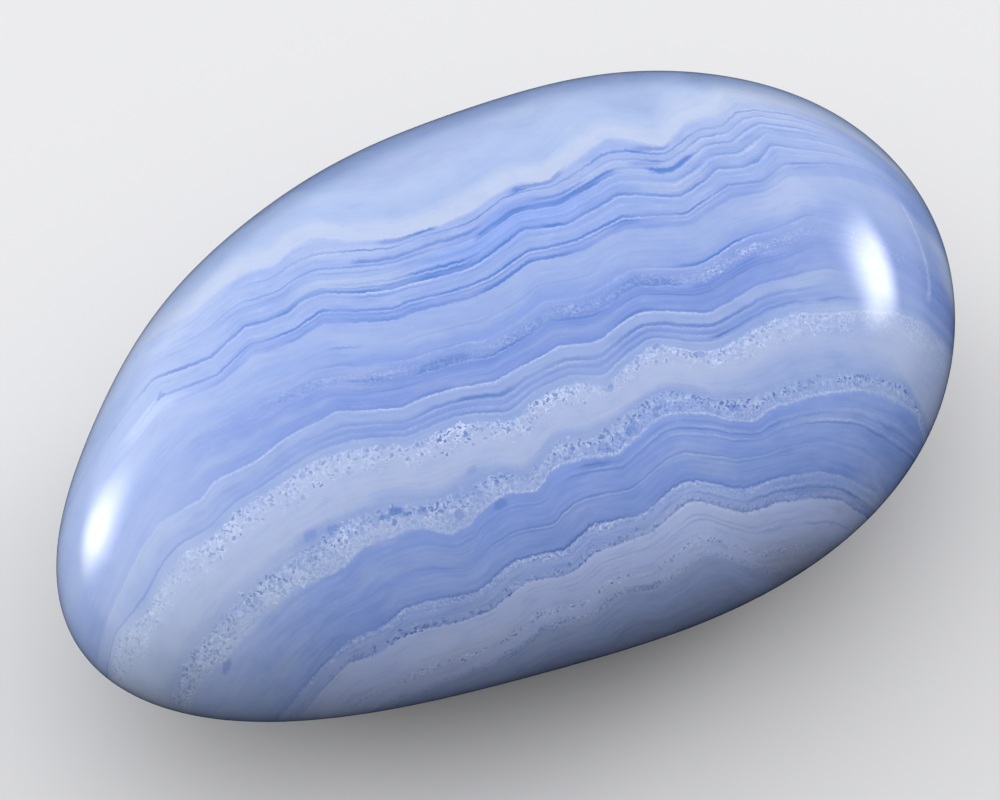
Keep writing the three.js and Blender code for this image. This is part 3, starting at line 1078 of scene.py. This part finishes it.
def clouded_ground(tree, swept, level, veil_and_painted_light):
    """The stack's own colour, with milky clouds drawn out along the layers, the soft patches, some of
    them painted shade and painted light at the rim, and the veil, which is partly painted light at the
    ends."""
    ground = colour_stack(tree, level, [(step, linear(name)) for step, name in GROUND])
    cloud = ramp_between(tree, noise(tree, swept, CLOUD_SIZE), *CLOUD_NOISE, 0.0, CLOUD_STRENGTH)
    colour = mix_colours(tree, cloud, ground, linear("milk"))
    colour = mix_colours(tree, stored(tree, "tint_share", "Fac"), colour, stored(tree, "tint"))
    # the veil over the ends, partly painted light
    return mix_colours(tree, veil_and_painted_light, colour, linear("veil_and_painted_light"))


# %% Leaves between the lines
LEAF_THICKNESS = 0.2
MOTTLE_SIZE = 1.4
MOTTLE_STRENGTH = 0.3


def leaf_shade(tree, place, stretched, leaves):
    """Thin leaves, which are noise drawn out far along the layers, and a mottle that follows nothing."""
    leaf = sums(tree, "SUBTRACT", noise(tree, stretched, LEAF_THICKNESS), CENTRE)
    mottle = sums(tree, "SUBTRACT", noise(tree, place, MOTTLE_SIZE, detail=3.0, roughness=0.6), CENTRE)
    return sums(tree, "MULTIPLY_ADD", leaf, leaves, sums(tree, "MULTIPLY", mottle, MOTTLE_STRENGTH))


# %% Leaves, lines and dashes laid over the ground
SWELL_SIZE = 0.9
SWELL_NOISE = (0.3, 0.65)
SWELL_STRENGTH = (0.5, 1.2)
BEAD_NOISE = (0.35, 0.65)
BEAD_STRENGTH = (0.2, 0.7)
DARK_STRENGTH = 1.15
# Places along between which the lines fade, how strong they stay, and heights between which their blue
# gets brighter
LINES_FADE = (24.5, 29)
LINES_LEFT = 0.35
BLUER_LINES = (-2.0, 3.0)


def lined(tree, along, swept, level, leaf, grit, colour):
    """The colour with leaves, lines and dashes, and a painted reflection of a thin light near the right
    rim. Lines and dashes swell and thin along the stone and fade towards its right end. Dark ones are a
    brighter blue high in the stack, and light ones, with the painted reflection, are broken into beads by
    the grit."""
    shade = sums(tree, "SUBTRACT", fine_lines(tree, level), short_dashes(tree, level))
    swell = ramp_between(tree, noise(tree, swept, SWELL_SIZE, detail=1.0), *SWELL_NOISE, *SWELL_STRENGTH)
    swell = sums(tree, "MULTIPLY", swell, ramp_between(tree, along, *LINES_FADE, 1.0, LINES_LEFT))
    shade = sums(tree, "MULTIPLY_ADD", shade, swell, leaf)
    dark = sums(tree, "MULTIPLY", shade, -DARK_STRENGTH, clamp=True)
    beads = ramp_between(tree, grit, *BEAD_NOISE, *BEAD_STRENGTH)
    # the painted reflection of a thin light near the right rim joins the light lines
    with_reflection = sums(tree, "MAXIMUM", shade, painted_thin_reflection(tree, along, level))
    light = sums(tree, "MULTIPLY", with_reflection, beads, clamp=True)
    bluer = ramp_between(tree, level, *BLUER_LINES)
    line_colour = mix_colours(tree, bluer, linear("deep"), linear("azure"))
    colour = mix_colours(tree, dark, colour, line_colour)
    return mix_colours(tree, light, colour, linear("frost"))


# %% The stone's material
# How much the way along counts for clouds and swellings, and for leaves
SWEEP = 0.25
STRETCH = 0.1
# How many bends of the grains there are to a millimetre, how far they move a place, and the grit's size
BENDS_PER_MM = 2.2
BEND = 0.55
GRIT_SIZE = 0.17
# How strongly quartz bends light, and the roughness of the polish in its best and its poorest places
QUARTZ_IOR = 1.54
GLOSS_SIZE = 4.0
GLOSS_NOISE = (0.3, 0.7)
SMOOTHEST, ROUGHEST = 0.04, 0.08


def agate_finish():
    """Everything laid over one another in order, and a smooth clear surface round it."""
    material = bpy.data.materials.new("polished_agate")
    material.use_nodes = True
    tree = material.node_tree
    tree.nodes.clear()
    along, height, through = put(tree, "SeparateXYZ", {0: stored(tree, "beds")}).outputs
    leaves, ragged, veil_and_painted_light = put(tree, "SeparateXYZ", {0: stored(tree, "behaviour")}).outputs
    place = vectors(tree, "SCALE", put(tree, "TexCoord").outputs["Object"])
    place.node.inputs["Scale"].default_value = 1 / MM
    bend = put(tree, "TexNoise", {"Vector": place, "Scale": BENDS_PER_MM, "Detail": 1.0}).outputs["Color"]
    bend = vectors(tree, "MULTIPLY_ADD", bend, (BEND, BEND, BEND), (-BEND / 2, -BEND / 2, -BEND / 2))
    bent = vectors(tree, "ADD", place, bend)
    grit = noise(tree, bent, GRIT_SIZE, detail=1.0)

    level = wandering_height(tree, along, height, through, ragged)
    swept = squeezed(tree, along, level, through, SWEEP)
    stretched = squeezed(tree, along, level, through, STRETCH)
    colour = clouded_ground(tree, swept, level, veil_and_painted_light)
    leaf = leaf_shade(tree, place, stretched, leaves)
    colour = lined(tree, along, swept, level, leaf, grit, colour)
    colour = sugar(tree, bent, grit, level, colour)
    colour = blue_blots(tree, along, level, bend, colour)

    gloss = noise(tree, place, GLOSS_SIZE, detail=1.0)
    rough = ramp_between(tree, gloss, *GLOSS_NOISE, SMOOTHEST, ROUGHEST)
    shader = put(tree, "BsdfPrincipled", {"Base Color": colour, "Roughness": rough, "IOR": QUARTZ_IOR})
    put(tree, "OutputMaterial", {"Surface": shader.outputs[0]})
    print("nodes in the stone's material:", len(tree.nodes))
    return material


pebble.data.materials.append(agate_finish())
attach(pebble, "root")
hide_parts("agate_pebble")

# %% [markdown]
# ## The studio
#
# A glossy stone shows what stands round it, so the light matters as much as the colour. The floor is
# plain and pale, and the stone doesn't mirror it: that would wash out its dark underside. Two large lamps
# behind cloth, far away, give the two long highlights, and a dome that brightens towards the top gives
# the soft light over everything. The lamps' edges are soft too, because a highlight on a polished stone
# melts away at its rim.

# %% Floor
FLOOR_REACH = 2.0
FLOOR_COLOUR = (0.62, 0.62, 0.63, 1)
FLOOR_ROUGHNESS = 0.9


def pale_floor():
    """A plain square that catches the stone's shadow, and that neither gloss nor the stone's colour
    picks up."""
    material = bpy.data.materials.new("pale_floor")
    material.use_nodes = True
    shader = material.node_tree.nodes["Principled BSDF"]
    shader.inputs["Base Color"].default_value = FLOOR_COLOUR
    shader.inputs["Roughness"].default_value = FLOOR_ROUGHNESS
    corners = np.array([(-1, -1, 0), (1, -1, 0), (1, 1, 0), (-1, 1, 0)]) * FLOOR_REACH
    floor = add_piece("floor", corners / MM, np.array([[0, 1, 2, 3]]))
    floor.data.materials.append(material)
    floor.visible_glossy = False
    floor.visible_diffuse = False
    return floor


floor = pale_floor()
print("floor:", 2 * FLOOR_REACH, "m wide")

# %% Directions of the lights
def direction_from_stone(bearing, rise):
    """A unit direction from the stone. Its bearing is measured from straight behind the stone, to the
    right, and its rise from level, both in degrees, as seen from the camera."""
    ahead = np.cross([0, 0, 1], sideways)
    turn, lift = np.radians(bearing), np.radians(rise)
    flat_way = np.sin(turn) * sideways + np.cos(turn) * ahead
    return np.cos(lift) * flat_way + np.sin(lift) * np.array([0, 0, 1])


# %% Lamps
LAMP_DISTANCE = 2.0
# Distances from a lamp's middle, as shares of its size: the edge, and where the skirt starts to fade
EDGE = 0.5
SKIRT_ALONG = 0.35
SKIRT_UP = 0.15


def soft_light(name, bearing, rise, lean, width, depth, power, core, skirt):
    """A rectangular light that faces the stone, like a lamp behind cloth. It is fully bright in its
    core, a share of its size, and falls smoothly to nothing at its edges. The skirt is a faint glow, a
    share of the full one, that keeps its strength further out."""
    way = direction_from_stone(bearing, rise)
    light = bpy.data.lights.new(name, "AREA")
    light.shape = "RECTANGLE"
    light.size = width
    light.size_y = depth
    light.energy = power
    light.use_nodes = True
    tree = light.node_tree
    spot = put(tree, "NewGeometry").outputs["Parametric"]
    from_middle = vectors(tree, "SUBTRACT", spot, (EDGE, EDGE, 0))
    across, up, _ = put(tree, "SeparateXYZ", {0: vectors(tree, "ABSOLUTE", from_middle)}).outputs
    along_light = ramp_between(tree, across, core / 2, EDGE, 1, 0)
    glow = sums(tree, "MULTIPLY", along_light, ramp_between(tree, up, core / 2, EDGE, 1, 0))
    edge = ramp_between(tree, across, SKIRT_ALONG, EDGE, skirt, 0)
    edge = sums(tree, "MULTIPLY", edge, ramp_between(tree, up, SKIRT_UP, EDGE, 1, 0))
    tree.links.new(sums(tree, "MAXIMUM", glow, edge), tree.nodes["Emission"].inputs["Strength"])
    lamp = bpy.data.objects.new(name, light)
    lamp.location = Vector(stone_middle + way * LAMP_DISTANCE)
    facing_stone = Vector(way).to_track_quat("Z", "Y")
    lamp.rotation_euler = (facing_stone @ Quaternion((0, 0, 1), np.radians(lean))).to_euler()
    bpy.context.scene.collection.objects.link(lamp)
    return lamp


left_lamp = soft_light(
    "left_softbox", bearing=-71, rise=11.5, lean=0, width=1.4, depth=1.35, power=62, core=0.0, skirt=0.08
)
right_lamp = soft_light(
    "right_softbox", bearing=55, rise=22.5, lean=14, width=1.1, depth=0.67, power=25, core=0.15, skirt=0.16
)
print("lamps:", left_lamp.name, "and", right_lamp.name)

# %% Dome
# Cosines of the angles at which each glow starts, and the heights between which the dark of the ground
# gives way to light
DOME_FROM = -0.5
SIDE_FROM = 0.2
HORIZON = (-0.25, 0.1)


def dome_light(bearing, rise, dim, bright, side_bearing, side_glow):
    """A glow all round, which grows from dim, on the side away from the named direction, to bright
    towards it, and a weaker one that is added low down on one side."""
    way = direction_from_stone(bearing, rise)
    side_way = direction_from_stone(side_bearing, 0)
    world = bpy.data.worlds.new("studio")
    world.use_nodes = True
    tree = world.node_tree
    facing = put(tree, "TexCoord").outputs["Generated"]
    towards = vectors(tree, "DOT_PRODUCT", facing, Vector(way), result=1)
    beside = vectors(tree, "DOT_PRODUCT", facing, Vector(side_way), result=1)
    level = put(tree, "SeparateXYZ", {0: facing}).outputs["Z"]
    main = ramp_between(tree, towards, DOME_FROM, 1.0, dim, bright)
    side = ramp_between(tree, beside, SIDE_FROM, 1.0, 0.0, side_glow)
    above_ground = ramp_between(tree, level, *HORIZON)
    strength = sums(tree, "MULTIPLY", sums(tree, "ADD", main, side), above_ground)
    tree.links.new(strength, tree.nodes["Background"].inputs["Strength"])
    tree.nodes["Background"].inputs["Color"].default_value = (1, 1, 1, 1)
    bpy.context.scene.world = world


dome_light(bearing=-8, rise=66, dim=0.36, bright=1.34, side_bearing=-104, side_glow=0.3)
bpy.context.scene.view_settings.view_transform = "Standard"
print("world:", bpy.context.scene.world.name)

# %% [markdown]
# ## The camera
#
# It stands where the first cell on the view put it, and looks along that direction at a spot a little
# beside the stone's middle, which sets the stone in the frame as it lies there in a product photo. The
# plain lens has no blur, so every layer is sharp.

# %% Camera
LENS_LENGTH = 100
SENSOR_WIDTH = 36
NEAREST = 10 * MM

lens = bpy.data.cameras.new("camera")
lens.lens = LENS_LENGTH
lens.sensor_width = SENSOR_WIDTH
lens.clip_start = NEAREST
camera = bpy.data.objects.new("camera", lens)
aim = stone_middle + sideways * AIM_RIGHT + upwards * AIM_UP
camera.location = Vector(aim + towards_eye * VIEW_DISTANCE)
camera.rotation_euler = Vector(-towards_eye).to_track_quat("-Z", "Y").to_euler()
bpy.context.scene.collection.objects.link(camera)
bpy.context.scene.camera = camera
print("camera at", np.round(camera.location, 3))
